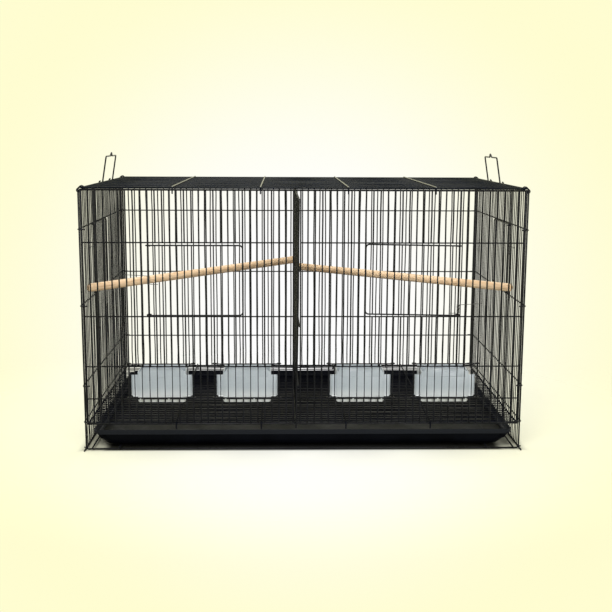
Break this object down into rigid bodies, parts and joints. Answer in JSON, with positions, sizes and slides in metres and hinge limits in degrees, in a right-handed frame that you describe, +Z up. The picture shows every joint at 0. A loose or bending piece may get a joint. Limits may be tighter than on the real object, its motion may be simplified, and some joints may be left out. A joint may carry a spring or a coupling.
{
  "type": "bird cage",
  "caption": "Long wire breeding cage for small birds with a removable middle divider, spring doors, lift-up feeding doors with hung cups, slanted perches and a pull-out tray.",
  "frame": {"origin": "centre of the box round the part, on the ground under the feet", "axes": "+X along the cage's length to the right seen from the front, +Y from front to back, +Z up"},
  "size_m": [0.7827, 0.496, 0.5164],
  "materials": {
    "front_panel": "satin black powder coating",
    "back_panel": "satin black powder coating",
    "left_side_panel": "satin black powder coating",
    "right_side_panel": "satin black powder coating",
    "roof_panel": "satin black powder coating",
    "floor_panel": "satin black powder coating",
    "base_frame": "satin black powder coating",
    "corner_clip_front_left": "satin black powder coating",
    "corner_clip_front_right": "satin black powder coating",
    "corner_clip_back_left": "satin black powder coating",
    "corner_clip_back_right": "satin black powder coating",
    "left_perch": "plain turned softwood",
    "right_perch": "plain turned softwood",
    "left_door_spring": "dark spring steel",
    "right_door_spring": "dark spring steel",
    "left_nest_spring": "dark spring steel",
    "right_nest_spring": "dark spring steel",
    "left_main_door": "satin black powder coating",
    "right_main_door": "satin black powder coating",
    "left_nest_door": "satin black powder coating",
    "right_nest_door": "satin black powder coating",
    "feeder_door_1": "satin black powder coating",
    "feeder_door_2": "satin black powder coating",
    "feeder_door_3": "satin black powder coating",
    "feeder_door_4": "satin black powder coating",
    "feed_cup_1": "milky translucent moulded plastic",
    "feed_cup_2": "milky translucent moulded plastic",
    "feed_cup_3": "milky translucent moulded plastic",
    "feed_cup_4": "milky translucent moulded plastic",
    "left_handle": "satin black powder coating",
    "right_handle": "satin black powder coating",
    "tray": "black moulded plastic",
    "divider": "satin black powder coating"
  },
  "bodies": {
    "cage": {"front_panel": "front_panel", "back_panel": "back_panel", "left_side_panel": "left_side_panel", "right_side_panel": "right_side_panel", "roof_panel": "roof_panel", "floor_panel": "floor_panel", "base_frame": "base_frame", "corner_clip_front_left": "corner_clip_front_left", "corner_clip_front_right": "corner_clip_front_right", "corner_clip_back_left": "corner_clip_back_left", "corner_clip_back_right": "corner_clip_back_right", "left_perch": "left_perch", "right_perch": "right_perch", "left_door_spring": "left_door_spring", "right_door_spring": "right_door_spring", "left_nest_spring": "left_nest_spring", "right_nest_spring": "right_nest_spring"},
    "left_main_door": {"left_main_door": "left_main_door"},
    "right_main_door": {"right_main_door": "right_main_door"},
    "left_nest_door": {"left_nest_door": "left_nest_door"},
    "right_nest_door": {"right_nest_door": "right_nest_door"},
    "feeder_door_1": {"feeder_door_1": "feeder_door_1"},
    "feeder_door_2": {"feeder_door_2": "feeder_door_2"},
    "feeder_door_3": {"feeder_door_3": "feeder_door_3"},
    "feeder_door_4": {"feeder_door_4": "feeder_door_4"},
    "feed_cup_1": {"feed_cup_1": "feed_cup_1"},
    "feed_cup_2": {"feed_cup_2": "feed_cup_2"},
    "feed_cup_3": {"feed_cup_3": "feed_cup_3"},
    "feed_cup_4": {"feed_cup_4": "feed_cup_4"},
    "left_handle": {"left_handle": "left_handle"},
    "right_handle": {"right_handle": "right_handle"},
    "tray": {"tray": "tray"},
    "divider": {"divider": "divider"}
  },
  "joints": [
    {"name": "left_main_door_hinge", "type": "hinge", "parent": "cage", "child": "left_main_door", "pos_m": [-0.26857, -0.2285, 0.3], "axis": [0, 0, -1], "range_deg": [0, 110], "stiffness_Nm_per_rad": 0.04, "springref_deg": -28.65},
    {"name": "right_main_door_hinge", "type": "hinge", "parent": "cage", "child": "right_main_door", "pos_m": [0.26857, -0.2285, 0.3], "axis": [0, 0, 1], "range_deg": [0, 110], "stiffness_Nm_per_rad": 0.04, "springref_deg": -28.65},
    {"name": "left_nest_door_hinge", "type": "hinge", "parent": "cage", "child": "left_nest_door", "pos_m": [-0.3843, -0.09263, 0.3225], "axis": [0, 0, 1], "range_deg": [0, 110], "stiffness_Nm_per_rad": 0.04, "springref_deg": -28.65},
    {"name": "right_nest_door_hinge", "type": "hinge", "parent": "cage", "child": "right_nest_door", "pos_m": [0.3843, -0.09263, 0.3225], "axis": [0, 0, -1], "range_deg": [0, 110], "stiffness_Nm_per_rad": 0.04, "springref_deg": -28.65},
    {"name": "feeder_door_1_lift", "type": "slide", "parent": "cage", "child": "feeder_door_1", "axis": [0, 0, 1], "range_m": [0, 0.0525]},
    {"name": "feeder_door_2_lift", "type": "slide", "parent": "cage", "child": "feeder_door_2", "axis": [0, 0, 1], "range_m": [0, 0.0525]},
    {"name": "feeder_door_3_lift", "type": "slide", "parent": "cage", "child": "feeder_door_3", "axis": [0, 0, 1], "range_m": [0, 0.0525]},
    {"name": "feeder_door_4_lift", "type": "slide", "parent": "cage", "child": "feeder_door_4", "axis": [0, 0, 1], "range_m": [0, 0.0525]},
    {"name": "feed_cup_1_lift", "type": "slide", "parent": "cage", "child": "feed_cup_1", "axis": [0, 0, 1], "range_m": [0, 0.04]},
    {"name": "feed_cup_2_lift", "type": "slide", "parent": "cage", "child": "feed_cup_2", "axis": [0, 0, 1], "range_m": [0, 0.04]},
    {"name": "feed_cup_3_lift", "type": "slide", "parent": "cage", "child": "feed_cup_3", "axis": [0, 0, 1], "range_m": [0, 0.04]},
    {"name": "feed_cup_4_lift", "type": "slide", "parent": "cage", "child": "feed_cup_4", "axis": [0, 0, 1], "range_m": [0, 0.04]},
    {"name": "left_handle_fold", "type": "hinge", "parent": "cage", "child": "left_handle", "pos_m": [-0.3795, 0.01852, 0.4595], "axis": [0, 1, 0], "range_deg": [-135, 70]},
    {"name": "right_handle_fold", "type": "hinge", "parent": "cage", "child": "right_handle", "pos_m": [0.3795, 0.01852, 0.4595], "axis": [0, -1, 0], "range_deg": [-135, 70]},
    {"name": "tray_slide", "type": "slide", "parent": "cage", "child": "tray", "axis": [0, -1, 0], "range_m": [0, 0.43]},
    {"name": "divider_slide", "type": "slide", "parent": "cage", "child": "divider", "axis": [0, -1, 0], "range_m": [0, 0.45]}
  ]
}
